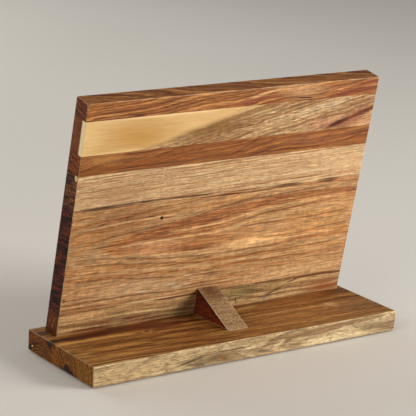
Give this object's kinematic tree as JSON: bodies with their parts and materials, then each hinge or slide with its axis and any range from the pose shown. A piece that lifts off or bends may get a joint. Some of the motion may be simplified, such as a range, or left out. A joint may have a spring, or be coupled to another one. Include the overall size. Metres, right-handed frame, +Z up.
{
  "type": "tablet stand",
  "caption": "Wooden tablet stand: a leaning stave-built back panel on a long stave-built base, with a ledge in front and a triangular brace behind.",
  "frame": {"origin": "middle of the base's footprint, on the surface that the feet stand on", "axes": "+X along the base and the panel, +Y towards the brace behind the panel, -Y towards the side where the tablet stands, +Z up"},
  "size_m": [0.305, 0.0996, 0.2192],
  "materials": {
    "base_front_wood": "oiled acacia, medium brown with darker stripes",
    "base_rear_wood": "oiled acacia, heartwood shading into sapwood at the long edge",
    "panel_bottom_wood": "oiled acacia, light brown with grey-brown streaks",
    "panel_wide_wood": "oiled acacia, golden brown with wavy grain",
    "panel_tan_wood": "oiled acacia, light pinkish tan",
    "panel_brown_wood": "oiled acacia, plain reddish brown",
    "panel_sapwood": "oiled acacia, pale sapwood at one end and figured heartwood at the other",
    "panel_top_wood": "oiled acacia, reddish brown with dark grain",
    "brace_wood": "oiled acacia, greyish brown",
    "screw_steel": "yellow zinc plated",
    "foot_rubber": "matt black"
  },
  "bodies": {
    "root": {"base_stave_front": "base_front_wood", "base_stave_rear": "base_rear_wood", "panel_stave_bottom": "panel_bottom_wood", "panel_stave_wide": "panel_wide_wood", "panel_stave_tan": "panel_tan_wood", "panel_stave_brown": "panel_brown_wood", "panel_stave_sapwood": "panel_sapwood", "panel_stave_top": "panel_top_wood", "wedge_brace": "brace_wood", "panel_screws": "screw_steel", "wedge_screw": "screw_steel", "foot_front_left": "foot_rubber", "foot_front_right": "foot_rubber", "foot_rear_left": "foot_rubber", "foot_rear_right": "foot_rubber"}
  },
  "joints": []
}
